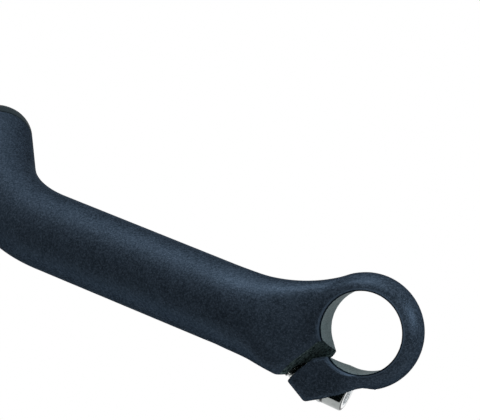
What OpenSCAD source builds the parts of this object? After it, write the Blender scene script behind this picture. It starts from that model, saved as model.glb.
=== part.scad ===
// Bicycle bar end: a bent hollow grip bar that clamps round the end of a handlebar.
// Millimetres. Origin at the centre of the clamp's bore. +Y runs inboard along the handlebar, -X forward, +Z up.

/* [Clamp eye] */
// Inside diameter of the clamp, a close fit on a 22.2 mm handlebar
bore_d = 22.4; // [20:0.1:26]
// Thickness of the eye's wall at its crown
eye_wall = 4.7; // [3.5:0.1:6]
// Length of the bore along the handlebar
eye_w = 12.6; // [11.5:0.1:16]
// Width of the machined bevel at both rims of the bore
rim_bevel = 0.35; // [0.1:0.05:0.6]

/* [Bar] */
// Outside diameter of the grip bar
bar_d = 22.2; // [20:0.1:25]
// Wall of the hollow bar
bar_wall = 2.4; // [1.8:0.1:3.5]
// How far the bar's axis passes below the centre of the bore
bar_drop = 5.2; // [4:0.1:6]
// Climb of the clamp's plane ahead of the handlebar, in degrees
rise = 16.5; // [0:0.5:30]
// Distance from the bore's centre to the corner of the first bend
neck_l = 36; // [33:0.5:45]
// First bend, inboard, in degrees
flare = 22.5; // [15:0.5:28]
// Radius of the first bend
flare_r = 37; // [30:1:50]
// Distance between the corners of the two bends
grip_l = 90; // [75:1:110]
// Second bend, in degrees
hook = 43.5; // [20:0.5:50]
// How far the second bend leans from inboard towards up, in degrees
hook_lean = 37.5; // [0:0.5:90]
// Radius of the second bend
hook_r = 49; // [35:1:60]
// Distance from the second corner to the bar's open end
tip_l = 35.5; // [32:0.5:60]

/* [Neck and ear] */
// Radius of the saddle between the top of the bar and the eye
saddle_r = 44; // [30:1:60]
// Depth of the heel, ahead of the slot, below the bore's centre
heel_drop = 18.4; // [17.5:0.1:20]
// Distance of the heel ahead of the bore's centre
heel_x = 19.8; // [19.2:0.2:22]
// Depth of the ear's toe below the bore's centre
toe_drop = 23; // [22.5:0.1:24.5]
// Distance of the toe ahead of the bore's centre
toe_x = 10.2; // [9.6:0.1:11.2]
// Width of the ear along the handlebar
ear_w = 13.4; // [13:0.1:15]
// Length of the bevel that takes the ear's thin tip off along the bore
tip_bevel = 4.5; // [2:0.1:4.8]

/* [Slot] */
// Width of the sawn slot
slot_w = 2.4; // [1.8:0.1:3]
// Angle of the slot below the neck's axis, in degrees
slot_angle = 55.5; // [50:0.5:60]
// Distance by which the slot's middle passes ahead of the bore's centre
slot_offset = 1.9; // [1:0.1:2.6]

/* [Bolt] */
// Thread diameter
bolt_d = 6; // [5:0.5:6]
// Length under the head
bolt_l = 20; // [18:1:22]
// Diameter of the head
head_d = 10; // [9:0.1:10.4]
// Height of the head
head_h = 6; // [5:0.1:7]
// Size of the hexagon key across its flats
key_size = 5; // [4:0.5:5]
// Slope of the bolt below the neck's axis, in degrees
bolt_tilt = 9; // [5:0.5:12]
// Distance from the bore's centre to the bolt's axis
bolt_drop = 18; // [17.6:0.1:18.4]
// Distance of the bolt head's seat ahead of the bore's centre, along the bolt
seat_x = 3.1; // [2.5:0.1:4]
// Thickness of the washer
washer_t = 1; // [0.6:0.1:1.4]
// Clearance round the bolt in the ear and round the head in its pocket
bolt_gap = 0.3; // [0.2:0.05:0.5]
// Running clearance of the thread, measured on the radius
thread_gap = 0.05; // [0.02:0.01:0.1]

/* [End plug] */
// Height of the plug's head
plug_head_h = 6.6; // [5.5:0.1:9]
// Rounding of the head's edge
plug_round = 4.8; // [2:0.1:5.2]
// Radius of the head's domed face
plug_dome_r = 25; // [22:1:60]
// Diameter of the shallow recess in that face
plug_face_d = 12; // [8:0.5:14]
// Depth of the recess
plug_face_depth = 0.3; // [0.1:0.1:1]
// Length of the stem inside the bar
plug_stem_l = 12; // [9:0.5:13]
// Clearance of the stem's barbs in the bar, measured on the radius
plug_gap = 0.05; // [0.02:0.01:0.3]

/* [Hidden] */
$fn = 96;
eps = 0.01;

bore_r = bore_d / 2;
bar_r = bar_d / 2;
eye_r = bore_r + eye_wall;
half_eye = eye_w / 2;

// The eye's section is part of a circle that passes its crown and both rims.
crown_r = (half_eye * half_eye + eye_wall * eye_wall) / (2 * eye_wall);
crown_c = eye_r - crown_r;

// Straight lengths and bends of the bar
flare_cut = flare_r * tan(flare / 2);
hook_cut = hook_r * tan(hook / 2);
neck_straight = neck_l - flare_cut;
flare_arc = flare_r * flare * PI / 180;
neck_overlap = 0.09 * bar_d;
neck_end = neck_straight + flare_arc + neck_overlap;
grip_straight = grip_l - flare_cut - hook_cut;
tip_straight = tip_l - hook_cut;
bar_hole_r = bar_r - bar_wall;

// Saddle: an arc that touches the bar's top and the eye's crown
bar_top = bar_r - bar_drop;
saddle_c = sqrt(pow(eye_r + saddle_r, 2) - pow(bar_top + saddle_r, 2));
saddle_touch = saddle_c * eye_r / (eye_r + saddle_r);

// Ear: from its toe the underside runs straight back till it touches the eye, behind the bore's centre
tail_angle = atan2(toe_drop, toe_x) + acos(eye_r / norm([toe_x, toe_drop]));
tail_x = eye_r * cos(tail_angle);
tail_drop = eye_r * sin(tail_angle);
tail_w = 0.37 * ear_w;

// The ear's corner at the slot, the step of the underside across the slot, and the slope of the tip's bevel
corner_x = toe_x + 0.65 * (heel_x - toe_x);
step = eye_wall / 6;
tip_slope = 27;

// Bolt: everything is measured from the face of the ear that the washer rests on
bolt_r = bolt_d / 2;
head_r = head_d / 2;
pocket_r = head_r + bolt_gap;
thread_r = bolt_r - thread_gap;
tap_l = bolt_l - washer_t + bolt_d / 4;

// Size of the blocks that cut the slot
cut_l = 2 * toe_drop;

// Plug: the stem's barbs spring against the wall of the bar
stem_wall = 0.18 * bar_hole_r;
barbs = 3;
barb_h = plug_stem_l / 6;
barb_rise = 0.08 * bar_hole_r;
barb_step = (plug_stem_l - barb_h) / barbs;
stem_r = bar_hole_r - plug_gap - barb_rise;

// Skins by which the neck stands over the bar, and a straight length over the bend's end, where they meet
skin = 0.06;
lap_skin = 0.02;
lap = 0.045 * bar_d;
stations = 30;
ring_points = 40;

function smooth(t) = let (u = min(max(t, 0), 1)) u * u * (3 - 2 * u);
function mix(a, b, t) = a + (b - a) * t;
function power(v, e) = sign(v) * pow(abs(v), e);

// Heights of the neck over the bore's centre, s millimetres ahead of it
function neck_top(s) =
    s > saddle_c ? bar_top
    : s > saddle_touch ? bar_top + saddle_r - sqrt(saddle_r * saddle_r - pow(saddle_c - s, 2))
    : let (r = mix(bore_r + eye_wall / 3, eye_r - skin, smooth((s + eye_r / 2) / (saddle_touch + eye_r / 2))))
      sqrt(r * r - s * s);
function neck_bottom(s) = -lookup(s, [
    [tail_x, tail_drop - skin],
    [toe_x, toe_drop],
    [corner_x, heel_drop + step / 2],
    [corner_x + step, heel_drop - step],
    [heel_x, heel_drop],
    [heel_x + 0.35 * (neck_end - heel_x), mix(heel_drop, bar_drop + bar_r, 0.6)],
    [heel_x + 0.75 * (neck_end - heel_x), bar_drop + bar_r + skin],
    [neck_end, bar_drop + bar_r + skin]
]);

// Half the width of the neck, and how square its section is above and below the bar's axis
function neck_half(s) = mix(mix(tail_w / 2, ear_w / 2, smooth((s - tail_x) / eye_wall / 2)), bar_r + skin,
    smooth((s - bore_r) / (neck_end - neck_overlap - bore_r - half_eye)));
function square_top(s) = mix(2.8, 2, smooth((s - eye_r) / eye_r));
function square_bottom(s) = mix(7, 2, smooth((s - 1.2 * toe_x) / toe_x / 2));

// A point of the bar's axis through the neck and the first bend, and the way across the bar there
function bend_angle(s) = min(max(s - neck_straight, 0), flare_arc) / flare_arc * flare;
function neck_point(s) =
    let (a = bend_angle(s), past = max(s - neck_straight - flare_arc, 0))
    [-min(s, neck_straight) - flare_r * sin(a) - past * cos(a), flare_r * (1 - cos(a)) + past * sin(a), 0];
function across(s) = [sin(bend_angle(s)), cos(bend_angle(s)), 0];

function neck_section(s) =
    let (mid = -bar_drop, top = neck_top(s) + skin - mid, low = mid - neck_bottom(s), w = neck_half(s))
    [for (i = [0:ring_points - 1])
        let (t = 360 * i / ring_points,
             e = 2 / (t < 180 ? square_top(s) : square_bottom(s)),
             y = w * power(cos(t), e),
             z = mid + (t < 180 ? top : low) * power(sin(t), e))
        neck_point(s) + across(s) * y + [0, 0, z]];

// Stations crowd together where the ear's toe and the heel turn sharply
neck_stations = concat(
    [for (i = [0:9]) mix(tail_x, toe_x - step, i / 9)],
    [toe_x, toe_x + step],
    [for (i = [1:4]) mix(toe_x + step, corner_x, i / 4)],
    [corner_x + step, mix(corner_x + step, heel_x, 0.5), heel_x],
    [for (i = [1:stations / 2]) mix(heel_x, neck_end, i * 2 / stations)]);

// Solid through a list of sections with equal numbers of points
module loft(sections) {
    n = len(sections[0]);
    m = len(sections);
    sides = [for (k = [0:m - 2]) for (i = [0:n - 1])
        let (j = (i + 1) % n)
        each [[k * n + i, k * n + j, (k + 1) * n + j], [k * n + i, (k + 1) * n + j, (k + 1) * n + i]]];
    first = [for (i = [0:n - 1]) n - 1 - i];
    last = [for (i = [0:n - 1]) (m - 1) * n + i];
    polyhedron(points = [for (s = sections) each s], faces = concat([first], sides, [last]));
}

// Frame of the clamp: its plane climbs by the rise
module clamp_frame() {
    rotate([0, rise, 0]) children();
}

// Frame of the bolt: origin on the ear's seat, +Z out towards the head
module bolt_frame() {
    clamp_frame() rotate([0, bolt_tilt, 0]) translate([-seat_x - washer_t, 0, -bolt_drop]) rotate([0, 90, 0])
        children();
}

// Frame at the start of the straight grip: +Z along the grip, +X up, +Y inboard
module grip_frame() {
    clamp_frame()
        translate(neck_point(neck_straight + flare_arc) + [0, 0, -bar_drop])
            rotate([0, 0, -flare]) rotate([0, -90, 0]) children();
}

// Moves on to the end of a bend that turns towards the direction dir
module past_bend(angle, r, dir) {
    rotate([0, 0, dir]) translate([r * (1 - cos(angle)), 0, r * sin(angle)]) rotate([0, angle, 0])
        rotate([0, 0, -dir]) children();
}

module bend(angle, r, dir, rod_r) {
    rotate([0, 0, dir]) translate([r, 0, 0]) rotate([0, 0, 180]) rotate([90, 0, 0])
        rotate_extrude(angle = angle) translate([r, 0]) circle(rod_r);
}

// Frame at the open end of the bar: +Z out of the end
module tip_frame() {
    grip_frame() translate([0, 0, grip_straight]) past_bend(hook, hook_r, 90 - hook_lean)
        translate([0, 0, tip_straight]) children();
}

// Bar from the first bend to the open end: the two straight lengths lap over the bend between them
module bar_run(rod_r, start, past_end) {
    grip_frame() {
        translate([0, 0, start]) cylinder(h = grip_straight - start + lap, r = rod_r);
        translate([0, 0, grip_straight]) {
            bend(hook, hook_r, 90 - hook_lean, rod_r - lap_skin);
            past_bend(hook, hook_r, 90 - hook_lean) translate([0, 0, -lap])
                cylinder(h = tip_straight + past_end + lap, r = rod_r);
        }
    }
}

// The hollow ends in a dome near the first bend.
module bar_hollow() {
    bar_run(bar_hole_r, bar_hole_r, 1);
    grip_frame() translate([0, 0, bar_hole_r]) sphere(bar_hole_r - lap_skin);
}

module eye() {
    clamp_frame() rotate([-90, 0, 0]) rotate_extrude() intersection() {
        translate([crown_c, 0]) circle(crown_r);
        translate([bore_r - 1, -half_eye]) square([eye_wall + 2, eye_w]);
    }
}

module neck() {
    clamp_frame() loft([for (s = neck_stations) neck_section(s)]);
}

// The bore, with a bevel at each rim
module bore_cut() {
    clamp_frame() rotate([-90, 0, 0]) {
        cylinder(h = 2 * ear_w, r = bore_r, center = true);
        for (side = [0, 180]) rotate([side, 0, 0]) translate([0, 0, half_eye - rim_bevel])
            cylinder(h = ear_w, r1 = bore_r, r2 = bore_r + ear_w);
    }
}

// Frame of the slot: the saw comes in from below the neck, square to the flared grip
module slot_frame() {
    clamp_frame() rotate([0, -slot_angle, 0]) translate([0, 0, slot_offset]) rotate([-flare, 0, 0]) children();
}

module slot_cut() {
    slot_frame() {
        translate([-cut_l, -cut_l / 2, -slot_w / 2]) cube([cut_l, cut_l, slot_w]);
        translate([-bore_r - eye_wall * 0.8, -cut_l / 2, -slot_w / 2]) rotate([0, tip_slope, 0])
            cube([2 * tip_bevel, cut_l, slot_w * cos(tip_slope)]);
    }
}

// On one axis: the pocket of the head, a clear hole as far as the slot and a tapped hole in the heel
module bolt_cuts() {
    bolt_frame() {
        cylinder(h = head_h * 3, r = pocket_r);
        translate([0, 0, -tap_l]) cylinder(h = tap_l + eps, r = bolt_r);
    }
    intersection() {
        bolt_frame() translate([0, 0, -tap_l]) cylinder(h = tap_l + eps, r = bolt_r + bolt_gap);
        slot_frame() translate([-cut_l, -cut_l / 2, -cut_l]) cube([2 * cut_l, cut_l, cut_l]);
    }
}

module bar_end_body() {
    color("#2b3340") difference() {
        union() {
            eye();
            neck();
            bar_run(bar_r, 0, 0);
        }
        bar_hollow();
        bore_cut();
        slot_cut();
        bolt_cuts();
    }
}

// Half section of the plug's head: a flat seat, a round edge and a domed face with its recess
module plug_head_section() {
    difference() {
        intersection() {
            union() {
                square([bar_r, plug_head_h - plug_round]);
                square([bar_r - plug_round, plug_head_h]);
                translate([bar_r - plug_round, plug_head_h - plug_round]) circle(plug_round);
            }
            translate([0, plug_head_h - plug_dome_r]) circle(plug_dome_r);
            square([bar_r, plug_head_h]);
        }
        difference() {
            square([plug_face_d / 2, plug_head_h + 1]);
            translate([0, plug_head_h - plug_face_depth - plug_dome_r]) circle(plug_dome_r);
        }
    }
}

// One barb: a ridge that slopes towards the stem's end and is square behind
module barb() {
    cylinder(h = barb_h, r1 = stem_r, r2 = bar_hole_r - plug_gap);
}

module end_plug() {
    color("#20262c") tip_frame() difference() {
        union() {
            rotate_extrude() plug_head_section();
            translate([0, 0, -plug_stem_l]) cylinder(h = plug_stem_l + eps, r = stem_r);
            for (i = [0:barbs - 1]) translate([0, 0, -plug_stem_l + i * barb_step]) barb();
        }
        translate([0, 0, -plug_stem_l - eps]) cylinder(h = plug_stem_l + plug_head_h / 3, r = stem_r - stem_wall);
    }
}

module clamp_bolt() {
    color("#c9cdcf") bolt_frame() translate([0, 0, washer_t]) {
        difference() {
            cylinder(h = head_h, r = head_r);
            translate([0, 0, head_h / 2]) cylinder(h = head_h, r = key_size / 2 / cos(30), $fn = 6);
        }
        translate([0, 0, -bolt_l]) cylinder(h = bolt_l + eps, r = thread_r);
    }
}

module clamp_washer() {
    color("#9aa0a3") bolt_frame() difference() {
        cylinder(h = washer_t, r = head_r);
        translate([0, 0, -eps]) cylinder(h = washer_t + 2 * eps, r = bolt_r + bolt_gap);
    }
}

bar_end_body();
end_plug();
clamp_bolt();
clamp_washer();
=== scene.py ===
"""Bicycle bar end: painted body, end plug, clamp bolt and washer, under soft studio light."""

import math

import bpy
import numpy as np
from mathutils import Matrix, Vector


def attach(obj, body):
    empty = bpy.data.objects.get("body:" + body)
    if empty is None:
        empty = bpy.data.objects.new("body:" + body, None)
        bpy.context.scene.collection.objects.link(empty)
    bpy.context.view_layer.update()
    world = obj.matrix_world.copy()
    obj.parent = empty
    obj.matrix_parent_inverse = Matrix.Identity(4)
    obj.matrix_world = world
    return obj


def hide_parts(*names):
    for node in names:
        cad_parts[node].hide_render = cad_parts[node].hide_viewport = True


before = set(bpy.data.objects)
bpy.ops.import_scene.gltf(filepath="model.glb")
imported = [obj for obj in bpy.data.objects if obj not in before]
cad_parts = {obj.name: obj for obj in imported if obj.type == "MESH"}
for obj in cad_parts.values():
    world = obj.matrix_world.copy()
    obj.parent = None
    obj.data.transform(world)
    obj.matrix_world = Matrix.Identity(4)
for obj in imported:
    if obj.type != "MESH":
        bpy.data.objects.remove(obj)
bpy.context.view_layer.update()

# Sizes are in millimetres, as in the CAD model, as far as the heading on light, floor and camera
MM = 0.001

# Clamp eye: its bore, its wall, half its width, the bevel of its rims and the round crown of its section
BORE_R = 11.2
EYE_WALL = 4.7
EYE_R = BORE_R + EYE_WALL
HALF_EYE = 6.3
RIM_BEVEL = 0.35
CROWN_R = (HALF_EYE**2 + EYE_WALL**2) / (2 * EYE_WALL)
CROWN_C = EYE_R - CROWN_R

# Bar: three lengths from corner to corner, with a bend in each corner.
# The hollow is only as deep as the plug hides.
BAR_R = 11.1
HOLE_R = 8.7
HOLE_DEPTH = 14.0
BAR_DROP = 5.2
NECK_L = 36.0
GRIP_L = 90.0
TIP_L = 35.5
RISE = math.radians(16.5)
FLARE = math.radians(22.5)
FLARE_R = 37.0
HOOK = math.radians(43.5)
HOOK_DIR = math.radians(52.5)
HOOK_R = 49.0
FLARE_CUT = FLARE_R * math.tan(FLARE / 2)
HOOK_CUT = HOOK_R * math.tan(HOOK / 2)

# Distances from the bore along the bar's axis
NECK_STRAIGHT = NECK_L - FLARE_CUT
GRIP_START = NECK_STRAIGHT + FLARE_R * FLARE
HOOK_START = GRIP_START + GRIP_L - FLARE_CUT - HOOK_CUT
TIP_START = HOOK_START + HOOK_R * HOOK
BAR_END = TIP_START + TIP_L - HOOK_CUT
NECK_OVERLAP = 2.0
NECK_END = GRIP_START + NECK_OVERLAP

# Neck: the saddle over it, and under it the ear's toe, the heel behind the slot and the corner between them
STEP = EYE_WALL / 6
SADDLE_R = 44.0
HEEL_DROP = 18.4
HEEL_X = 19.8
TOE_DROP = 23.0
TOE_X = 10.2
CORNER_X = TOE_X + 0.65 * (HEEL_X - TOE_X)
EAR_W = 13.4
TAIL_W = 0.37 * EAR_W

# How square the neck's section is over and under the bar's axis: 2 is round
ROUND = 2
SQUARE_TOP = 2.8
SQUARE_LOW = 7

# Slot, and the slope that takes the ear's thin tip off
SLOT_W = 2.4
SLOT_ANGLE = math.radians(55.5)
SLOT_OFFSET = 1.9
TIP_SLOPE = math.radians(27)
TIP_X = -BORE_R - EYE_WALL * 0.8
TIP_REACH = 5.0

# Clamp bolt, its holes and its washer
BOLT_TILT = math.radians(9)
BOLT_DROP = 18.0
SEAT_X = 3.1
WASHER_T = 1.0
WASHER_R = 5.2
WASHER_HOLE_R = 3.3
BOLT_L = 20.0
HEAD_R = 5.0
HEAD_H = 6.0
HEAD_TOP = WASHER_T + HEAD_H
HEAD_TAPER = 0.25
HEAD_ROUND = 0.6
HEAD_FOOT_ROUND = 0.4
SOCKET_DEPTH = 3.6
SOCKET_MOUTH_R = 3.4
KEY_SIZE = 5.0
BOLT_GAP = 0.3
THREAD_R = 2.95
THREAD_DEPTH = 0.55
THREAD_PLAY = 0.05
THREAD_END_BEVEL = 0.25
PITCH = 1.0
TAP_L = 20.5

# Plug: the head with its domed face and shallow recess, and the hollow stem with its barbs
PLUG_HEAD_H = 6.6
PLUG_ROUND = 4.8
PLUG_DOME_R = 25.0
PLUG_DOME_EDGE = 10.36
PLUG_ROUND_FROM = 24
PLUG_FACE_R = 6.0
PLUG_FACE_DEPTH = 0.3
PLUG_STEM_L = 12.0
PLUG_STEM_R = 7.95
PLUG_STEM_WALL = 1.6
PLUG_BARB_R = 8.65
PLUG_BARB_H = 2.0
PLUG_BARBS = 3

# Widths over which the body's surfaces run into each other
EYE_ROUND = 0.3
FLANK_ROUND = 3.4
RIM_ROUND = 0.12
SLOT_ROUND = 0.35
SLOT_SIDE_ROUND = 2.6
HOLE_ROUND = 0.2
MOUTH_ROUND = 0.3
END_ROUND = 0.6

# Distances from the middle plane of the eye at which its flanks and the slot's ends begin to round off
FLANK = 3.0
SLOT_SIDE = 4.5

# A distance that stands for nothing being there
FAR = 99

# Body's shape, in coordinates of the bar: s ahead of the bore along the axis, u inboard and v over the axis


def smooth(t):
    t = np.clip(t, 0, 1)
    return t * t * (3 - 2 * t)


def mix(a, b, t):
    return a + (b - a) * t


def turn_y(p, angle):
    c, s = math.cos(angle), math.sin(angle)
    return np.stack([p[..., 0] * c + p[..., 2] * s, p[..., 1], -p[..., 0] * s + p[..., 2] * c], -1)


def turn_x(p, angle):
    c, s = math.cos(angle), math.sin(angle)
    return np.stack([p[..., 0], p[..., 1] * c - p[..., 2] * s, p[..., 1] * s + p[..., 2] * c], -1)


def soft_min(a, b, k):
    """The smaller of two distances, with a fillet about k wide between them."""
    h = np.clip(1 - np.abs(a - b) / k, 0, 1)
    return np.minimum(a, b) - h * h * k / 4


def soft_cut(body, cutter, k):
    """A body less a cutter, with the edge between them rounded off."""
    return -soft_min(-body, cutter, k)


def neck_low(s, tail_x, tail_drop, step=0.05, blur=0.35, reach=30):
    """How far the neck goes down below the bore's centre, with its corners blurred a little."""
    run = NECK_END - HEEL_X
    bar_low = BAR_DROP + BAR_R
    knots = [
        (tail_x, tail_drop),
        (TOE_X, TOE_DROP),
        (CORNER_X, HEEL_DROP + STEP / 2),
        (CORNER_X + STEP, HEEL_DROP - STEP),
        (HEEL_X, HEEL_DROP),
        (HEEL_X + 0.35 * run, mix(HEEL_DROP, bar_low, 0.6)),
        (HEEL_X + 0.75 * run, bar_low),
    ]
    low = np.interp(s, [k[0] for k in knots], [k[1] for k in knots])
    kernel = np.exp(-0.5 * (np.arange(-reach, reach + 1) * step / blur) ** 2)
    return np.convolve(np.pad(low, reach, mode="edge"), kernel / kernel.sum(), mode="valid")


def neck_tables(first=-25, past=60, step=0.05):
    """The neck's shape against s: places, values there, and where the neck begins, at the ear's tail.

    The values are its heights over and under the bar's axis, its half width, and how square it is there."""
    s = np.arange(first, NECK_END + past, step)
    bar_top = BAR_R - BAR_DROP
    saddle_c = math.sqrt((EYE_R + SADDLE_R) ** 2 - (bar_top + SADDLE_R) ** 2)
    touch = saddle_c * EYE_R / (EYE_R + SADDLE_R)
    reach = math.hypot(TOE_X, TOE_DROP)
    tail_angle = math.atan2(TOE_DROP, TOE_X) + math.acos(EYE_R / reach)
    tail_x, tail_drop = EYE_R * math.cos(tail_angle), EYE_R * math.sin(tail_angle)
    r = mix(BORE_R + EYE_WALL / 3, EYE_R, smooth((s + EYE_R / 2) / (touch + EYE_R / 2)))
    over_eye = np.sqrt(np.maximum(r * r - s * s, 0.01))
    saddle = bar_top + SADDLE_R - np.sqrt(np.maximum(SADDLE_R**2 - (saddle_c - s) ** 2, 0))
    top = np.where(s > saddle_c, bar_top, np.where(s > touch, saddle, over_eye))
    low = neck_low(s, tail_x, tail_drop, step)
    ear = mix(TAIL_W / 2, EAR_W / 2, smooth((s - tail_x) / EYE_WALL / 2))
    half = mix(ear, BAR_R, smooth((s - BORE_R) / (NECK_END - NECK_OVERLAP - BORE_R - HALF_EYE)))
    square_top = mix(SQUARE_TOP, ROUND, smooth((s - EYE_R) / EYE_R))
    square_low = mix(SQUARE_LOW, ROUND, smooth((s - 1.2 * TOE_X) / TOE_X / 2))
    return s, (top + BAR_DROP, low - BAR_DROP, half, square_top, square_low), tail_x


NECK_S, NECK_SHAPE, NECK_TAIL = neck_tables()


def neck_field(s, u, v, tiny=1e-6):
    """Rough distance from the neck and the bar, whose section is a superellipse in each half."""
    top, low, half, e_top, e_low = (np.interp(s, NECK_S, values) for values in NECK_SHAPE)
    upper = v > 0
    height = np.where(upper, top, low)
    e = np.where(upper, e_top, e_low)
    r = np.sqrt(u * u + v * v) + tiny
    g = (np.abs(u / half) ** e + np.abs(v / height) ** e + 1e-12) ** (1 / e)
    return np.maximum(r * (1 - 1 / g), NECK_TAIL - s)


def slot_coords(p):
    """Points in the slot's frame: out from the bore along the slot, across it, and over it."""
    q = turn_y(p, SLOT_ANGLE)
    q[..., 2] -= SLOT_OFFSET
    return turn_x(q, FLARE)


def slot_field(x, h):
    """The saw's slot, with the ear's thin tip taken off."""
    slot = np.maximum(np.abs(h) - SLOT_W / 2, x)
    slope = h + SLOT_W / 2 + (x - TIP_X) * math.tan(TIP_SLOPE)
    tip = np.maximum(np.maximum(-slope * math.cos(TIP_SLOPE), h - SLOT_W / 2), x + TIP_REACH)
    return np.minimum(slot, tip)


def bolt_coords(p):
    """Distance out along the bolt from the ear's seat, and distance from the bolt's axis."""
    q = turn_y(p, -BOLT_TILT) - np.array([-SEAT_X - WASHER_T, 0, -BOLT_DROP])
    return q[..., 0], np.hypot(q[..., 1], q[..., 2])


def bolt_hole_field(p, h, lap=1):
    """Pocket of the head, clear hole as far as the slot, and tapped hole in the heel."""
    along, away = bolt_coords(p)
    pocket = np.maximum(away - HEAD_R - BOLT_GAP, -along)
    ear_side = np.maximum(away - THREAD_R - THREAD_PLAY - BOLT_GAP, h)
    tapped = away - THREAD_R - THREAD_PLAY
    hole = np.maximum(np.minimum(ear_side, tapped), np.maximum(-along - TAP_L, along - lap))
    return np.minimum(pocket, hole)


def body_field(q):
    """Signed distance, roughly, from the body's surface: below zero inside."""
    s, u, v = q[..., 0], q[..., 1], q[..., 2]
    z = v - BAR_DROP
    rho = np.hypot(s, z)
    near = s < NECK_STRAIGHT

    def at_clamp(field):
        return np.where(near, field, FAR)

    f = neck_field(s, u, v)
    eye = np.sqrt((rho - CROWN_C) ** 2 + u * u) - CROWN_R
    flank = smooth((np.abs(u) - FLANK) / FLANK)
    f = np.where(near, soft_min(f, at_clamp(eye), EYE_ROUND + FLANK_ROUND * flank), f)
    # Bore and its bevels
    f = soft_cut(f, at_clamp(rho - BORE_R), RIM_ROUND)
    bevel = (rho - BORE_R - np.abs(u) + HALF_EYE - RIM_BEVEL) / math.sqrt(2)
    f = soft_cut(f, at_clamp(bevel), RIM_ROUND)
    # Slot and holes of the bolt, in the frame of the clamp
    p = np.stack([-s, u, z], -1)
    x, _, h = np.moveaxis(slot_coords(p), -1, 0)
    slot_end = smooth((np.abs(u) - SLOT_SIDE) / (SLOT_SIDE / 3))
    f = soft_cut(f, at_clamp(slot_field(x, h)), SLOT_ROUND + SLOT_SIDE_ROUND * slot_end)
    f = soft_cut(f, at_clamp(bolt_hole_field(p, h)), HOLE_ROUND)
    # Open end
    hollow = np.maximum(np.hypot(u, v) - HOLE_R, BAR_END - HOLE_DEPTH - s)
    f = soft_cut(f, hollow, MOUTH_ROUND)
    return soft_cut(f, BAR_END - s, END_ROUND)


def bar_place(q):
    """Points of the clamp's frame for points given along, across and over the bar."""
    s, u, v = q[:, 0:1], q[:, 1:2], q[:, 2:3]
    a = np.clip(s - NECK_STRAIGHT, 0, FLARE_R * FLARE) / FLARE_R
    ahead = np.clip(s, None, NECK_STRAIGHT)
    past = np.clip(s, GRIP_START, HOOK_START) - GRIP_START
    along = np.hstack([-np.cos(a), np.sin(a), 0 * a])
    inboard = np.hstack([np.sin(a), np.cos(a), 0 * a])
    up = np.array([[0, 0, 1.0]])
    flared = np.hstack([-ahead - FLARE_R * np.sin(a), FLARE_R * (1 - np.cos(a)), 0 * a - BAR_DROP])
    mid = flared + past * along
    c, d = math.cos(HOOK_DIR), math.sin(HOOK_DIR)
    side = c * up + d * inboard
    still = -d * up + c * inboard
    b = np.clip(s - HOOK_START, 0, HOOK_R * HOOK) / HOOK_R
    mid = mid + HOOK_R * (np.sin(b) * along + (1 - np.cos(b)) * side)
    onward = np.cos(b) * along + np.sin(b) * side
    side = np.cos(b) * side - np.sin(b) * along
    mid = mid + np.clip(s - TIP_START, 0, None) * onward
    return mid + u * (d * side + c * still) + v * (c * side - d * still)


# Net of quads over the zero level of a field


def gradient(q, field, h=0.02):
    return np.stack([(field(q + e) - field(q - e)) / (2 * h) for e in np.eye(3) * h], -1)


def unit(v):
    return v / np.maximum(np.linalg.norm(v, axis=-1, keepdims=True), 1e-9)


def project(q, field, rounds=2, reach=0.35, least_slope=0.1):
    """Moves points along the field's gradient onto its zero level."""
    for _ in range(rounds):
        f, g = field(q), gradient(q, field)
        q = q - np.clip(f / np.maximum((g * g).sum(1), least_slope), -reach, reach)[:, None] * g
    return q


def grid_crossings(axes, values):
    """Where the grid's edges cross the zero level: the points, the cells round each, and quads of cells."""
    inside = values < 0
    cells = tuple(n - 1 for n in values.shape)
    points, rings, quads = [], [], []
    for ax in range(3):
        step = np.eye(3, dtype=int)[ax]
        lower = np.take(inside, range(values.shape[ax] - 1), axis=ax)
        upper = np.take(inside, range(1, values.shape[ax]), axis=ax)
        at = np.argwhere(lower != upper)
        f0, f1 = values[tuple(at.T)], values[tuple((at + step).T)]
        p = np.stack([axes[k][at[:, k]] for k in range(3)], 1)
        p[:, ax] += f0 / (f0 - f1) * (axes[ax][at[:, ax] + 1] - axes[ax][at[:, ax]])
        ring = []
        for da, db in ((-1, -1), (0, -1), (0, 0), (-1, 0)):
            cell = at.copy()
            cell[:, (ax + 1) % 3] += da
            cell[:, (ax + 2) % 3] += db
            ring.append(np.ravel_multi_index(cell.T, cells))
        ring = np.stack(ring, 1)
        out = f0 < 0
        points.append(p)
        rings.append(ring)
        quads += [ring[~out], ring[out][:, ::-1]]
    return np.concatenate(points), np.concatenate(rings), np.concatenate(quads)


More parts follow.
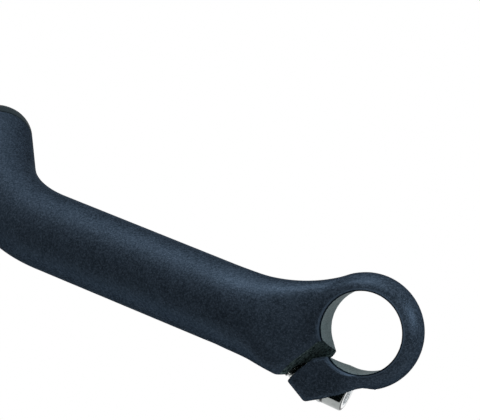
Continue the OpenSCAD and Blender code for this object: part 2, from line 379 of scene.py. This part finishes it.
def net_of_quads(axes, values, field, pull=0.03, crease_below=0.965):
    """Quads round the zero level of a field given on a grid, with their points on its creases.

    A point goes where the tangent planes of its cell's crossings meet, and pull keeps it near their middle.
    It lies on a crease where the mean of their directions is shorter than crease_below.
    Returns the points, the quads, and which points lie on a crease."""
    p, rings, quads = grid_crossings(axes, values)
    p = project(p, field, 1)
    n = unit(gradient(p, field))
    cells = tuple(size - 1 for size in values.shape)
    used = np.unique(rings)
    row_of = np.full(int(np.prod(cells)), -1)
    row_of[used] = np.arange(len(used))
    where = row_of[rings].ravel()

    def gather(value):
        return np.bincount(where, np.repeat(value, 4), len(used))

    count = gather(np.ones(len(p)))
    mass = np.stack([gather(p[:, k]) for k in range(3)], 1) / count[:, None]
    lean = np.stack([gather(n[:, k]) for k in range(3)], 1) / count[:, None]
    away = (n * p).sum(1)
    a = np.array([[gather(n[:, i] * n[:, j]) for j in range(3)] for i in range(3)]).transpose(2, 0, 1)
    b = np.stack([gather(n[:, k] * away) for k in range(3)], 1) - np.einsum("nij,nj->ni", a, mass)
    q = mass + np.linalg.solve(a + pull * np.eye(3), b[..., None])[..., 0]
    corner = np.stack(np.unravel_index(used, cells), 1)
    low = np.stack([axes[k][corner[:, k]] for k in range(3)], 1)
    high = np.stack([axes[k][corner[:, k] + 1] for k in range(3)], 1)
    crease = np.linalg.norm(lean, axis=1) < crease_below
    return np.clip(q, low, high), row_of[quads], crease


def relax(q, quads, still, field, rounds=4):
    """Evens the quads out along the surface, but leaves the creases."""
    edges = np.concatenate([quads[:, [i, (i + 1) % 4]] for i in range(4)])
    edges = np.concatenate([edges, edges[:, ::-1]])
    n = len(q)
    count = np.bincount(edges[:, 0], minlength=n)[:, None]
    for _ in range(rounds):
        mean = np.stack([np.bincount(edges[:, 0], q[edges[:, 1], k], n) for k in range(3)], 1) / count
        q = np.where(still[:, None], q, project(mix(q, mean, 0.5), field, 1))
    return q


def body_grid(fine=0.4, finest=0.2, coarse_rows=78):
    """Rows of the grid along the bar, fine at the clamp and the open end, and rows across and over it."""
    behind, clamp_end, half_width, under, over = -17.2, 31, 12, -19.4, 22.2
    end_zone, past_end = 1.2, 0.7
    clamp = np.arange(behind, clamp_end, fine)
    bar = np.linspace(clamp[-1], BAR_END - end_zone, coarse_rows)[1:]
    end = np.arange(BAR_END - end_zone + finest, BAR_END + past_end, finest)
    along = np.concatenate([clamp, bar, end])
    return along, np.arange(-half_width, half_width + 0.01, fine), np.arange(under, over, fine)


def place_mesh(name, points, faces, body, node, sharp=None):
    """A smooth-shaded piece that rides on a body and stands for a CAD node; sharp is an angle in degrees."""
    mesh = bpy.data.meshes.new(name)
    mesh.from_pydata((points * MM).tolist(), [], faces if isinstance(faces, list) else faces.tolist())
    mesh.update()
    for poly in mesh.polygons:
        poly.use_smooth = True
    if sharp:
        mesh.set_sharp_from_angle(angle=math.radians(sharp))
    obj = bpy.data.objects.new(name, mesh)
    bpy.context.scene.collection.objects.link(obj)
    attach(obj, body)
    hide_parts(node)
    return obj


def body_normals(q, field, h=0.01):
    """Directions square to the surface in the row's frame."""
    g = gradient(q, field)
    ds, du, dv = (bar_place(q + e) - bar_place(q - e) for e in np.eye(3) * h)
    n = np.cross(du, dv) * g[:, :1] + np.cross(dv, ds) * g[:, 1:2] + np.cross(ds, du) * g[:, 2:]
    return -unit(turn_y(n, RISE))


def make_body():
    """The whole painted body as one smooth surface."""
    axes = body_grid()
    grid = np.stack(np.meshgrid(*axes, indexing="ij"), -1)
    values = np.stack([body_field(layer) for layer in grid])
    q, quads, crease = net_of_quads(axes, values, body_field)
    q = relax(q, quads, crease, body_field)
    q = np.where(crease[:, None], q, project(q, body_field))
    points = turn_y(bar_place(q), RISE)
    obj = place_mesh("painted_body", points, quads, "bar_end", "bar_end_body")
    # Smooth points take the field's own direction, creases keep that of each face
    p = points[quads]
    faces = unit(np.cross(p[:, 2] - p[:, 0], p[:, 3] - p[:, 1]))
    n = body_normals(q, body_field)
    per_corner = np.where(crease[quads][..., None], faces[:, None, :], n[quads])
    obj.data.normals_split_custom_set(per_corner.reshape(-1, 3).tolist())
    return obj


# Turned pieces


def fillet(points, steps=5, most=0.45):
    """Rounds the corners of a profile. Each point is (radius, height, rounding).

    A rounding takes no more than the share most of the lines that it joins."""
    out = []
    for i, (r, z, c) in enumerate(points):
        p = np.array([r, z], float)
        if c <= 0 or i in (0, len(points) - 1):
            out.append(p)
            continue
        a = np.array(points[i - 1][:2]) - p
        b = np.array(points[i + 1][:2]) - p
        la, lb = np.linalg.norm(a), np.linalg.norm(b)
        a, b = a / la, b / lb
        d = min(c, la * most, lb * most)
        for t in np.linspace(0, 1, steps):
            out.append(p + a * d * (1 - t) ** 2 + b * d * t**2)
    return np.array(out)


def lathe(rows, count, closed=False):
    """Surface of revolution. Each row is (radius or radii, height); it closes on itself or on the axis."""
    angle = np.arange(count) * 2 * math.pi / count
    points, faces, rings = [], [], []
    for r, z in rows:
        if np.ndim(r) == 0 and r == 0:
            rings.append([len(points)] * count)
            points.append((0, 0, z))
            continue
        rings.append(list(range(len(points), len(points) + count)))
        radii = np.broadcast_to(r, (count,))
        points += zip(radii * np.cos(angle), radii * np.sin(angle), [z] * count)
    pairs = list(zip(rings, rings[1:])) + ([(rings[-1], rings[0])] if closed else [])
    for a, b in pairs:
        for i in range(count):
            j = (i + 1) % count
            face = [a[i], b[i], b[j], a[j]]
            faces.append(list(dict.fromkeys(face)))
    return np.array(points, float), faces


def bolt_place(p):
    """From the bolt's own frame, +Z out towards the head, to the row's frame."""
    q = turn_y(p, math.pi / 2) + np.array([-SEAT_X - WASHER_T, 0, -BOLT_DROP])
    return turn_y(turn_y(q, BOLT_TILT), RISE)


def hexagon(count, across):
    """Radii of a hexagon, given its size across the flats."""
    angle = (np.arange(count) * 2 * math.pi / count + math.pi / 6) % (math.pi / 3) - math.pi / 6
    return across / 2 / np.cos(angle)


def socket_rows(count, mouth_r=2.86, rim_r=2.92, bevel=0.12):
    """Rows of the socket in the bolt's head, from the middle of its floor to its bevelled mouth."""
    hexa = hexagon(count, KEY_SIZE)
    rows = [(0, HEAD_TOP - SOCKET_DEPTH)]
    rows += [(hexa * share, HEAD_TOP - depth) for share, depth in ((0.5, 3.3), (0.97, 3.0))]
    rows += [(hexa, HEAD_TOP - depth) for depth in (2.9, 1.6, 0.32)]
    rows.append((np.maximum(hexa, mouth_r), HEAD_TOP - 0.16))
    rows.append((np.maximum(hexa, rim_r) + bevel, HEAD_TOP))
    return rows


def thread_rows(start, end, count):
    """Rows of a right-handed screw thread, with a tapered end."""
    turn = np.arange(count) / count
    root = THREAD_R - THREAD_DEPTH
    crest, flank_slope = 1.35, 3.4
    run_out_l, taper_l, taper_r = 0.8, 1.2, 0.2
    rows = []
    for z in np.arange(start, end, -PITCH / 10):
        phase = (z / PITCH - turn) % 1
        rise = np.clip(crest - np.abs(phase - 0.5) * flank_slope, 0, 1)
        run_out = np.clip((start - z) / run_out_l, 0, 1)
        taper = np.clip((z - end) / taper_l, 0, 1)
        r = THREAD_R - THREAD_DEPTH * (1 - rise) * run_out
        rows.append((np.minimum(r, root - taper_r + taper * (THREAD_DEPTH + taper_r)), z))
    return rows


def make_bolt(count=96):
    """Socket cap screw, with its hexagon socket and its thread."""
    head = [
        (SOCKET_MOUTH_R, HEAD_TOP, 0),
        (HEAD_R - HEAD_TAPER, HEAD_TOP, HEAD_ROUND),
        (HEAD_R, WASHER_T, HEAD_FOOT_ROUND),
        (THREAD_R + 0.1, WASHER_T, 0),
    ]
    end = WASHER_T - BOLT_L
    rows = socket_rows(count) + [tuple(p) for p in fillet(head, 7)]
    rows += thread_rows(WASHER_T - THREAD_END_BEVEL, end, count)
    rows += [(THREAD_R - THREAD_DEPTH - THREAD_END_BEVEL, end), (0, end)]
    points, faces = lathe(rows, count)
    return place_mesh("cap_screw", bolt_place(points), faces, "bolt", "clamp_bolt", 32)


def make_washer(count=96):
    """Flat washer with rounded edges, under the bolt's head."""
    loop = [
        (WASHER_HOLE_R, 0, 0),
        (WASHER_R, 0, 0.18),
        (WASHER_R, WASHER_T, 0.3),
        (WASHER_HOLE_R, WASHER_T, 0.12),
        (WASHER_HOLE_R, 0.05, 0),
    ]
    points, faces = lathe([tuple(p) for p in fillet(loop)], count, closed=True)
    faces = [f[::-1] for f in faces]
    return place_mesh("washer", bolt_place(points), faces, "washer", "clamp_washer", 32)


def plug_face():
    """Half section of the plug's domed face, from its middle to the round of its edge."""

    def dome(r):
        return PLUG_HEAD_H - PLUG_DOME_R + math.sqrt(PLUG_DOME_R**2 - r * r)

    face_z = dome(PLUG_FACE_R)
    pts = [(0, dome(0) - PLUG_FACE_DEPTH, 0)]
    pts += [(r, dome(r) - PLUG_FACE_DEPTH, 0) for r in np.linspace(0.5, PLUG_FACE_R - 0.5, 12)]
    pts += [(PLUG_FACE_R - 0.12, face_z - PLUG_FACE_DEPTH, 0.25), (PLUG_FACE_R + 0.1, face_z, 0.2)]
    pts += [(r, dome(r), 0) for r in np.linspace(PLUG_FACE_R + 0.5, 9.5, 10)]
    pts += [(PLUG_DOME_EDGE, dome(PLUG_DOME_EDGE), 0.6)]
    centre_r, centre_z = BAR_R - PLUG_ROUND, PLUG_HEAD_H - PLUG_ROUND
    for t in np.radians(np.linspace(PLUG_ROUND_FROM, 0, 9)):
        pts.append((centre_r + PLUG_ROUND * math.cos(t), centre_z + PLUG_ROUND * math.sin(t), 0))
    return pts


def plug_profile():
    """Half section of the plug, from the middle of its face round to the middle of its hollow."""
    pts = plug_face()
    pts += [(BAR_R, 0.9, 0), (BAR_R, 0.02, 0.45), (HOLE_R - 0.3, 0.0, 0.1), (PLUG_STEM_R, -0.2, 0)]
    step = (PLUG_STEM_L - PLUG_BARB_H) / PLUG_BARBS
    for i in reversed(range(PLUG_BARBS)):
        base = -PLUG_STEM_L + i * step
        pts += [(PLUG_STEM_R, base + PLUG_BARB_H, 0.1), (PLUG_BARB_R, base + PLUG_BARB_H - 0.02, 0.12)]
        pts.append((PLUG_STEM_R, base, 0.1))
    inner = PLUG_STEM_R - PLUG_STEM_WALL
    floor_z = PLUG_HEAD_H / 3
    pts += [(inner, -PLUG_STEM_L + 0.02, 0.3), (inner, floor_z - 0.4, 0.8), (0, floor_z, 0)]
    return fillet(pts)


def make_plug(count=128):
    """End plug, turned round the bar's axis at its open end."""
    points, faces = lathe([tuple(p) for p in plug_profile()], count)
    frame_at = bar_place(np.array([[BAR_END, 0, 0], [BAR_END + 1, 0, 0], [BAR_END, 1, 0]]))
    origin, out, across = frame_at[0], *(frame_at[1:] - frame_at[0])
    placed = origin + points[:, :1] * across + points[:, 1:2] * np.cross(out, across) + points[:, 2:] * out
    return place_mesh("bar_plug", turn_y(placed, RISE), faces, "bar_end", "end_plug", 40)


# Materials


class Nodes:
    """Short way to write a material's node tree."""

    def __init__(self, name):
        self.material = bpy.data.materials.new(name)
        self.material.use_nodes = True
        self.tree = self.material.node_tree
        self.shader = self.tree.nodes["Principled BSDF"]
        self.place = self.add("ShaderNodeTexCoord").outputs["Object"]

    def add(self, kind, inputs=None, **settings):
        node = self.tree.nodes.new(kind)
        for key, value in settings.items():
            setattr(node, key, value)
        for key, value in (inputs or {}).items():
            if isinstance(value, bpy.types.NodeSocket):
                self.tree.links.new(value, node.inputs[key])
            else:
                node.inputs[key].default_value = value
        return node

    def noise(self, scale, detail, rough, warp=0.0):
        inputs = {"Vector": self.place, "Scale": scale, "Detail": detail}
        inputs |= {"Roughness": rough, "Distortion": warp}
        return self.add("ShaderNodeTexNoise", inputs).outputs["Fac"]

    def span(self, value, low, high, to_low=0.0, to_high=1.0):
        """A value between low and high, stretched to lie between to_low and to_high."""
        inputs = {0: value, 1: low, 2: high, 3: to_low, 4: to_high}
        return self.add("ShaderNodeMapRange", inputs, clamp=True).outputs[0]

    def band(self, value, rise, fall, peak=1.0):
        """Climbs to its peak over the two values of rise, and goes back to zero over those of fall."""
        return self.calc("MULTIPLY", self.span(value, *rise, 0, peak), self.span(value, *fall, 1, 0))

    def blend(self, factor, a, b):
        inputs = {0: factor, 6: a, 7: b}
        return self.add("ShaderNodeMix", inputs, data_type="RGBA").outputs[2]

    def calc(self, operation, a, b=0.0):
        return self.add("ShaderNodeMath", {0: a, 1: b}, operation=operation).outputs[0]

    def ramp(self, value, stops):
        node = self.add("ShaderNodeValToRGB", {0: value})
        for element, (at, colour) in zip(node.color_ramp.elements, stops):
            element.position, element.color = at, (*colour, 1)
        return node.outputs[0]

    def bump(self, height, strength, distance, under=None):
        inputs = {"Height": height, "Strength": strength, "Distance": distance}
        if under is not None:
            inputs["Normal"] = under
        return self.add("ShaderNodeBump", inputs).outputs["Normal"]

    def vector(self, operation, other, output="Vector"):
        """The piece's own coordinates, in metres, put through a vector operation."""
        node = self.add("ShaderNodeVectorMath", {0: self.place, 1: other}, operation=operation)
        return node.outputs[output]

    def finish(self, **inputs):
        """Sets the shader's inputs, whose names are written with underscores here."""
        for key, value in inputs.items():
            name = key.replace("_", " ")
            if isinstance(value, bpy.types.NodeSocket):
                self.tree.links.new(value, self.shader.inputs[name])
            else:
                self.shader.inputs[name].default_value = value
        return self.material


def bore_distance(n):
    """Distance from the bore's axis, in millimetres."""
    flat = n.vector("MULTIPLY", (1, 0, 1))
    length = n.add("ShaderNodeVectorMath", {0: flat}, operation="LENGTH").outputs["Value"]
    return n.calc("MULTIPLY", length, 1 / MM)


def distance_along(n, direction):
    """Distance from the frame's origin along a direction, in millimetres."""
    return n.calc("MULTIPLY", n.vector("DOT_PRODUCT", direction, "Value"), 1 / MM)


def row_direction(*v):
    """A direction of the clamp's own frame in the row's frame."""
    return tuple(turn_y(np.array(v, float), RISE))


def slot_mask(n):
    """One on the two faces of the slot, and zero elsewhere."""
    c, s = math.cos(SLOT_ANGLE), math.sin(SLOT_ANGLE)
    over = row_direction(-s * math.cos(FLARE), math.sin(FLARE), c * math.cos(FLARE))
    height = n.calc("SUBTRACT", distance_along(n, over), SLOT_OFFSET * math.cos(FLARE))
    near = n.span(n.calc("ABSOLUTE", height), SLOT_W / 2 + 0.03, SLOT_W / 2 + 0.12, 1.0, 0.0)
    outward = n.span(distance_along(n, row_direction(c, 0, s)), -BORE_R, 2 - BORE_R, 1.0, 0.0)
    return n.calc("MULTIPLY", near, outward)


def paint_colour(n, broad, grain, bore):
    """Mottled navy black, with a painted highlight and a painted line of shade along the bore's rim, and the
    bare metal of the bore and the slot.
    """
    speck = n.noise(4000, 1, 0.5)
    colour = n.ramp(broad, [(0.3, (0.0152, 0.0228, 0.0320)), (0.7, (0.0222, 0.0328, 0.0462))])
    colour = n.blend(n.span(grain, 0.42, 0.68, 0, 0.62), colour, (0.0650, 0.0880, 0.1190, 1))
    colour = n.blend(n.span(speck, 0.60, 0.72, 0, 0.4), colour, (0.105, 0.138, 0.190, 1))
    radius = bore_distance(n)
    # Painted highlight: a lighter band just outside the rim's bevel, where the bevel catches light
    rim_painted_highlight = n.band(radius, (BORE_R + 0.38, BORE_R + 0.48), (BORE_R + 0.75, BORE_R + 0.9), 0.8)
    colour = n.blend(rim_painted_highlight, colour, (0.052, 0.074, 0.104, 1))
    # Painted shade: a dark line on the inner half of the rim's bevel
    rim_painted_shade = n.span(radius, BORE_R + 0.30, BORE_R + 0.42, 1, 0)
    colour = n.blend(rim_painted_shade, colour, (0.003, 0.0055, 0.009, 1))
    bare = n.ramp(n.noise(3100, 3, 0.75), [(0.36, (0.045, 0.072, 0.078)), (0.64, (0.170, 0.235, 0.250))])
    colour = n.blend(bore, colour, bare)
    sawn = n.ramp(n.noise(1500, 4, 0.7, 0.6), [(0.40, (0.010, 0.018, 0.018)), (0.62, (0.115, 0.160, 0.160))])
    return n.blend(slot_mask(n), colour, sawn)


def paint():
    """Satin navy-black powder coat, with a bare blasted bore and a dull sawn slot.

    Its metallic share gives the soft blue highlight, and its dark edge tint the dark silhouette."""
    n = Nodes("body_paint")
    broad = n.noise(240, 4, 0.6, 0.3)
    grain = n.noise(1700, 3, 0.75)
    bore = n.span(bore_distance(n), BORE_R + 0.02, BORE_R + 0.08, 1.0, 0.0)
    rough = n.calc("ADD", n.span(broad, 0.3, 0.7, 0.43, 0.51), n.span(grain, 0.3, 0.7, -0.06, 0.08))
    normal = n.bump(n.noise(1300, 3, 0.6), 0.25, 0.00015)
    return n.finish(
        Base_Color=paint_colour(n, broad, grain, bore),
        Metallic=n.span(bore, 0, 1, 0.47, 0.85),
        Roughness=rough,
        Specular_IOR_Level=0.0,
        Specular_Tint=n.blend(bore, (0.22, 0.23, 0.24, 1), (0.6, 0.6, 0.6, 1)),
        Normal=n.bump(grain, 0.5, 0.00010, normal),
    )


def plastic():
    """Dark moulded plastic with a fine grain and faint flow marks."""
    n = Nodes("plug_plastic")
    flow = n.noise(180, 3, 0.5, 1.2)
    grain = n.noise(3600, 2, 0.6)
    colour = n.ramp(flow, [(0.3, (0.0125, 0.0195, 0.0240)), (0.7, (0.0190, 0.0280, 0.0330))])
    colour = n.blend(n.span(grain, 0.5, 0.8, 0, 0.4), colour, (0.030, 0.042, 0.050, 1))
    rough = n.span(flow, 0.2, 0.8, 0.46, 0.60)
    normal = n.bump(grain, 0.3, 0.00005)
    return n.finish(Base_Color=colour, Roughness=rough, Specular_IOR_Level=0.04, Normal=normal)


def washer_steel():
    """Zinc-plated steel with fine turning marks and hazy patches."""
    n = Nodes("washer_steel")
    haze = n.noise(420, 4, 0.6, 0.5)
    fine = n.noise(4200, 2, 0.7)
    colour = n.ramp(haze, [(0.3, (0.3900, 0.4056, 0.4134)), (0.7, (0.50, 0.52, 0.53))])
    colour = n.blend(n.span(fine, 0.6, 0.85, 0, 0.3), colour, (0.34, 0.36, 0.37, 1))
    rough = n.calc("ADD", n.span(haze, 0.3, 0.7, 0.28, 0.38), n.span(fine, 0.3, 0.7, -0.03, 0.05))
    normal = n.bump(fine, 0.18, 0.00002)
    return n.finish(Base_Color=colour, Metallic=1.0, Roughness=rough, Normal=normal)


def bolt_position(n):
    """Height along the bolt's axis over the ear's seat, and the square of the distance from that axis."""
    tilt = BOLT_TILT + RISE
    height = n.calc("ADD", distance_along(n, (math.cos(tilt), 0, -math.sin(tilt))), SEAT_X + WASHER_T)
    seat = tuple(float(c) * MM for c in bolt_place(np.zeros((1, 3)))[0])
    offset = n.calc("MULTIPLY", n.vector("DISTANCE", seat, "Value"), 1 / MM)
    away_2 = n.calc("SUBTRACT", n.calc("MULTIPLY", offset, offset), n.calc("MULTIPLY", height, height))
    return height, away_2


def bolt_steel():
    """Bright plated steel, with painted light: a painted highlight on the end face and in the socket, a
    painted dark reflection round the end face, painted shade in the joint under the head, and painted shade
    with painted glints on the threaded shank.
    """
    n = Nodes("bolt_steel")
    height, away_2 = bolt_position(n)
    haze = n.noise(420, 4, 0.6, 0.5)
    fine = n.noise(4200, 2, 0.7)
    colour = n.ramp(haze, [(0.3, (0.27, 0.29, 0.285)), (0.7, (0.38, 0.40, 0.395))])
    colour = n.blend(n.span(fine, 0.6, 0.85, 0, 0.3), colour, (0.25, 0.27, 0.27, 1))
    # Painted highlight: the end face and the socket coloured near white
    over_floor = n.span(height, WASHER_T + 1, WASHER_T + 1.5)
    socket = n.calc("MULTIPLY", n.span(away_2, 8.6, 9.2, 1, 0), over_floor)
    end_and_socket_painted_highlight = n.calc("MAXIMUM", n.span(height, HEAD_TOP - 0.06, HEAD_TOP - 0.02), socket)
    colour = n.blend(end_and_socket_painted_highlight, colour, (0.86, 0.88, 0.88, 1))
    # Painted dark reflection on the rounded edge round the end face, and painted shade in the joint under
    # the head
    rim = n.band(away_2, (14.8, 15.8), (20.2, 21.4))
    rim = n.calc("MULTIPLY", rim, n.span(height, HEAD_TOP - 0.50, HEAD_TOP - 0.38))
    joint = n.band(height, (-0.2, 0.0), (WASHER_T + 0.55, WASHER_T + 0.75))
    painted_dark_lines = n.calc("MAXIMUM", rim, joint)
    colour = n.blend(painted_dark_lines, colour, (0.012, 0.015, 0.015, 1))
    # Painted shade on the threaded shank, with painted glints on its thread
    shank = n.span(height, -0.2, 0.0, 1, 0)
    shank_painted_shade_and_glints = n.ramp(n.noise(900, 3, 0.7), [(0.45, (0.012, 0.016, 0.016)), (0.56, (0.62, 0.64, 0.63))])
    colour = n.blend(shank, colour, shank_painted_shade_and_glints)
    rough = n.calc("ADD", n.span(haze, 0.3, 0.7, 0.05, 0.09), n.span(fine, 0.3, 0.7, -0.02, 0.04))
    rough = n.calc("ADD", rough, n.calc("MULTIPLY", shank, 0.10))
    return n.finish(
        Base_Color=colour,
        # The painted dark lines and the painted bright socket are not metallic
        Metallic=n.calc("SUBTRACT", 1.0, n.calc("MAXIMUM", painted_dark_lines, socket)),
        Roughness=rough,
        Specular_IOR_Level=0.1,
        Normal=n.bump(fine, 0.12, 0.00002),
    )


def floor_material(tone=0.76):
    """A plain surface that lamps and shadows fall on, and that reflections show as white."""
    n = Nodes("floor")
    rays = n.add("ShaderNodeLightPath").outputs
    seen = n.calc("MAXIMUM", rays["Is Glossy Ray"], rays["Is Transmission Ray"])
    n.finish(Base_Color=(tone, tone, tone, 1), Roughness=0.9, Specular_IOR_Level=0.1)
    white = n.add("ShaderNodeEmission", {"Color": (1, 1, 1, 1), "Strength": 1.0}).outputs[0]
    mixed = n.add("ShaderNodeMixShader", {0: seen, 1: n.shader.outputs[0], 2: white}).outputs[0]
    n.tree.links.new(mixed, n.tree.nodes["Material Output"].inputs["Surface"])
    return n.material


# Light, floor and camera, in metres where a comment doesn't say otherwise

# Each lamp: name, place, what it points at, size, power and colour
LAMPS = (
    ("top", (-0.10, -0.11, 0.80), (-0.05, 0, 0), 0.50, 5.4, (0.90, 0.95, 1.0)),
    ("side", (0.13, -0.02, 0.045), (0, 0, 0), 0.05, 0.12, (0.86, 0.93, 1.0)),
    ("front", (0.10, -0.24, 0.04), (0, 0, -0.02), 0.10, 0.08, (1, 1, 1)),
    ("table", (-0.15, 0.01, -0.095), (-0.13, 0.03, 0), 0.14, 0.040, (0.92, 0.97, 1.0)),
)
SOFT_LIGHT = 0.31
FLOOR_R = 0.55
FLOOR_Z = -0.1

# Front card: its corners seen from above, and the heights of its edges
CARD_BENDS = ((-0.40, -0.058), (0.19, -0.058), (0.19, 0.11))
CARD_LOW = -0.099
CARD_HIGH = 0.22

# Camera fitted to the photograph: its direction in degrees, its place in millimetres right of, over and
# behind the bore's centre, its focal length in the photo's pixels and its sensor's width in millimetres
AZIMUTH = 15.62
ELEVATION = 2.84
CAMERA_RIGHT = -34.0
CAMERA_UP = 32.56
CAMERA_BACK = 1040
FOCAL_PX = 3869
PHOTO_W_PX = 480
SENSOR_W = 36


def make_world():
    """Soft light from all round, which the camera and reflections see as white."""
    world = bpy.data.worlds.new("studio")
    bpy.context.scene.world = world
    world.use_nodes = True
    tree = world.node_tree
    soft = tree.nodes["Background"]
    soft.inputs["Color"].default_value = (1, 1, 1, 1)
    soft.inputs["Strength"].default_value = SOFT_LIGHT
    white = tree.nodes.new("ShaderNodeBackground")
    white.inputs["Color"].default_value = (1, 1, 1, 1)
    white.inputs["Strength"].default_value = 1.0
    rays = tree.nodes.new("ShaderNodeLightPath")
    seen = rays.outputs["Is Camera Ray"]
    for other in ("Is Glossy Ray", "Is Transmission Ray"):
        either = tree.nodes.new("ShaderNodeMath")
        either.operation = "MAXIMUM"
        tree.links.new(seen, either.inputs[0])
        tree.links.new(rays.outputs[other], either.inputs[1])
        seen = either.outputs[0]
    mixer = tree.nodes.new("ShaderNodeMixShader")
    tree.links.new(seen, mixer.inputs[0])
    tree.links.new(soft.outputs[0], mixer.inputs[1])
    tree.links.new(white.outputs[0], mixer.inputs[2])
    tree.links.new(mixer.outputs[0], tree.nodes["World Output"].inputs["Surface"])


def area_light(name, place, target, size, power, tone):
    light = bpy.data.lights.new(name, "AREA")
    light.shape, light.size, light.energy, light.color = "DISK", size, power, tone
    obj = bpy.data.objects.new(name, light)
    obj.location = place
    obj.visible_camera = False
    obj.rotation_euler = (Vector(target) - Vector(place)).to_track_quat("-Z", "Y").to_euler()
    bpy.context.scene.collection.objects.link(obj)


def stage_piece(name, points, faces, material):
    """An object that isn't part of the bar end."""
    mesh = bpy.data.meshes.new(name)
    mesh.from_pydata(points, [], faces)
    mesh.materials.append(material)
    obj = bpy.data.objects.new(name, mesh)
    bpy.context.scene.collection.objects.link(obj)
    return obj


def make_floor(count=96):
    """A pale round table below the part."""
    angles = [2 * math.pi * i / count for i in range(count)]
    rim = [(FLOOR_R * math.cos(a), FLOOR_R * math.sin(a), FLOOR_Z) for a in angles]
    stage_piece("floor", rim, [list(range(count))], floor_material())


def make_front_card():
    """A folded dark card before and right of the part, for a dark room. Only reflections show it."""
    corners = [(x, y, z) for x, y in CARD_BENDS for z in (CARD_LOW, CARD_HIGH)]
    n = Nodes("front_card")
    dark = n.finish(Base_Color=(0.01, 0.014, 0.014, 1), Roughness=1.0, Specular_IOR_Level=0.0)
    card = stage_piece("front_card", corners, [(0, 2, 3, 1), (2, 4, 5, 3)], dark)
    card.visible_camera = card.visible_diffuse = card.visible_shadow = card.visible_transmission = False


def make_camera():
    """Camera at the photograph's viewing angle."""
    az, el = math.radians(AZIMUTH), math.radians(ELEVATION)
    forward = Vector((-math.sin(az) * math.cos(el), math.cos(az) * math.cos(el), -math.sin(el)))
    right = Vector((math.cos(az), math.sin(az), 0))
    up = right.cross(forward)
    place = (CAMERA_RIGHT * right + CAMERA_UP * up - CAMERA_BACK * forward) * MM
    camera = bpy.data.cameras.new("camera")
    camera.sensor_fit, camera.sensor_width = "HORIZONTAL", SENSOR_W
    camera.lens = SENSOR_W * FOCAL_PX / PHOTO_W_PX
    camera.clip_start, camera.clip_end = 0.05, 50
    obj = bpy.data.objects.new("camera", camera)
    obj.matrix_world = Matrix.Translation(place) @ Matrix((right, up, -forward)).transposed().to_4x4()
    bpy.context.scene.collection.objects.link(obj)
    bpy.context.scene.camera = obj


for maker, material in (
    (make_body, paint()),
    (make_plug, plastic()),
    (make_bolt, bolt_steel()),
    (make_washer, washer_steel()),
):
    maker().data.materials.append(material)

make_world()
for lamp in LAMPS:
    area_light(*lamp)
make_floor()
make_front_card()
make_camera()
bpy.context.scene.view_settings.view_transform = "Standard"
